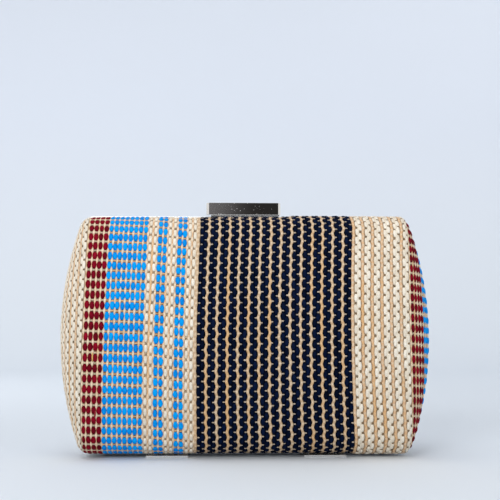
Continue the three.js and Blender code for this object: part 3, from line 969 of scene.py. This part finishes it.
def claspBar():
    low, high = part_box("clasp_bar")
    catchLow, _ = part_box("clasp_catch")
    top, underside = high.z + bar["rise"], low.z
    left, right = low.x + bar["aside"], high.x + bar["aside"]
    front, back = low.y - bar["lipOut"], high.y
    bevel, heel, lipEnd = bar["topBevel"], bar["heel"], low.z - bar["lipLow"]
    lipBack = catchLow.y - bar["lipGap"]
    roomFront, roomTop = bar["axis"][0] - bar["earRoomRadius"], bar["axis"][1] + bar["earRoomRadius"]
    shared = [
        (back, top - bevel), (back - bevel, top), (front + bevel, top), (front, top - bevel),
        (front, lipEnd), (lipBack, lipEnd), (lipBack, underside), (roomFront, underside),
    ]
    whole = np.array(shared + [(roomFront, underside), (back - heel, underside), (back, underside + heel)])
    cut = np.array(shared + [(roomFront, roomTop), (back, roomTop), (back, roomTop)])
    end = whole.copy()
    end[:, 0] = np.clip(end[:, 0], front + bar["endBevel"], back - bar["endBevel"])
    end[:, 1] = np.minimum(end[:, 1], top - bar["endLower"])
    stations = [(left, end), (left + bar["endBevel"], whole)]
    for ear in (-bar["earOffset"], bar["earOffset"]):
        leftOfEar, rightOfEar = ear - bar["earRoomHalf"], ear + bar["earRoomHalf"]
        stations += [(leftOfEar, whole), (leftOfEar, cut), (rightOfEar, cut), (rightOfEar, whole)]
    stations += [(right - bar["endBevel"], whole), (right, end)]
    points = np.concatenate([np.column_stack([np.full(len(section), x), section]) for x, section in stations])
    count = len(whole)
    skin = gridFaces(len(stations), count, closed=True)
    caps = [np.arange(count)[None], (len(points) - 1 - np.arange(count))[None]]
    piece = makePiece("clasp_bar_polished", points, [skin, *caps], claspMetal, smooth=False)
    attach(piece, "clasp")
    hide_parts("clasp_bar")


claspBar()
print("clasp bar made")


# Studio: a pale floor that sweeps up behind, soft light from the upper left
studio = {
    "floorPaint": paint(221, 228, 236),
    "wallPaint": paint(223, 229, 239),
    "wallFrom": (0.02, 0.6),    # heights between which the floor's colour turns into the wall's
    "sweepStart": 0.9,          # how far back the floor starts to sweep up
    "sweepRadius": 0.5,
    "front": -3.0,
    "high": 3.0,
    "halfWide": 4.0,
}
# The strip of floor under the back half, painted nearly black as a painted contact shadow where next to
# no light comes in
shadowUnderBack = {"fromY": (0.0005, 0.002), "toY": (0.014, 0.018), "toX": (0.07, 0.076), "share": 0.85}
shadowPaint = (0.01, 0.01, 0.01, 1.0)


# Floor and backdrop: a line, a quarter circle and an upright line, carried straight across
def makeFloor():
    radius, back, wide = studio["sweepRadius"], studio["sweepStart"], studio["halfWide"]
    turn = np.linspace(0, math.pi / 2, 24)
    y = np.concatenate([[studio["front"]], back + radius * np.sin(turn), [back + radius]])
    z = np.concatenate([[0], radius * (1 - np.cos(turn)), [studio["high"]]])
    points = np.stack([np.stack([x + 0 * y, y, z], 1) for x in (-wide, wide)], 1).reshape(-1, 3)
    material, start = newMaterial("studio_floor")
    place = start.node("ShaderNodeTexCoord", out="Object")
    grain = start.noise(place, 400.0, 2.0)
    across, ahead, height = place.axes()
    colour = start.mix(height.step(*studio["wallFrom"]), studio["floorPaint"], studio["wallPaint"])
    aside = across.math("ABSOLUTE", across)
    # Painted contact shadow: the floor under the back half turns nearly black
    under = ahead.step(*shadowUnderBack["fromY"]) * (1 - ahead.step(*shadowUnderBack["toY"]))
    under = under * (1 - aside.step(*shadowUnderBack["toX"]))
    colour = start.mix(under * shadowUnderBack["share"], colour, shadowPaint)
    surface(start, {"Base Color": colour, "Roughness": 0.8 + 0.1 * grain, "Specular IOR Level": 0.3})
    makePiece("studio_floor", points, [gridFaces(len(y), 2)[:, ::-1]], material)


sky = {
    "paint": paint(222, 228, 240),
    "strength": 0.58,           # as light on the cloth; mirrors see it at full strength
    "roomAhead": (0.55, 0.9),   # the room takes up directions this far to the front
    "roomHigh": (0.2, 0.45),    # and no higher than this
    "window": (-0.13, -0.1),    # left of these it ends at a bright window
    "roomSplit": (-0.01, 0.08), # and here its paler left passes into its dark right
    "roomLeft": (0.26, 0.25, 0.26, 1.0),
    "roomRight": (0.028, 0.026, 0.025, 1.0),
    "white": (1.0, 1.0, 1.0, 1.0),
}


# The sky is pale; what mirrors see towards the front and low down is the dim room behind the camera
def makeSky():
    world = bpy.data.worlds.new("studio_sky")
    scene.world = world
    world.use_nodes = True
    world.node_tree.nodes.clear()
    start = Wrap(world.node_tree)
    direction = start.node("ShaderNodeTexCoord", out="Generated")
    x, y, z = direction.axes()
    room = (0.0 - y).step(*sky["roomAhead"]) * (1 - z.step(*sky["roomHigh"])) * x.step(*sky["window"])
    roomColour = start.mix(x.step(*sky["roomSplit"]), sky["roomLeft"], sky["roomRight"])
    mirrors = start.node("ShaderNodeLightPath", out="Is Glossy Ray")
    seen = start.node("ShaderNodeLightPath", out="Is Camera Ray")
    colour = start.mix(room * mirrors, sky["white"], roomColour)
    strength = sky["strength"] + mirrors * (1 - sky["strength"])
    light = start.node("ShaderNodeBackground", {}, {"Color": colour, "Strength": strength})
    view = start.node("ShaderNodeBackground", {}, {"Color": sky["paint"], "Strength": 1.0})
    start.node("ShaderNodeMixShader", {}, {0: seen, 1: light, 2: view}).end("ShaderNodeOutputWorld")


clutchMiddle = (0, 0, 0.06)
lights = {
    "key_light": {"place": (-0.65, -1.25, 0.65), "target": clutchMiddle, "size": 0.6, "power": 9.5},
    "fill_light": {"place": (1.1, -1.2, 0.25), "target": clutchMiddle, "size": 0.6, "power": 3.5},
    "top_light": {"place": (-0.2, -0.25, 1.35), "target": clutchMiddle, "size": 0.9, "power": 5.0},
    "back_light": {"place": (0.9, 0.5, 1.0), "target": (0.9, 1.4, 0.7), "size": 0.6, "power": 2.2},
    "left_glow": {"place": (-0.6, 0.4, 0.5), "target": (-0.45, 1.25, 0.05), "size": 0.6, "power": 1.5},
}


def areaLight(name, place, target, size, power):
    light = bpy.data.objects.new(name, bpy.data.lights.new(name, "AREA"))
    scene.collection.objects.link(light)
    light.data.size = size
    light.data.energy = power
    light.location = place
    light.rotation_mode = "QUATERNION"
    light.rotation_quaternion = (Vector(target) - Vector(place)).to_track_quat("-Z", "Y")


makeFloor()
makeSky()
for name, light in lights.items():
    areaLight(name, **light)
print("studio ready")
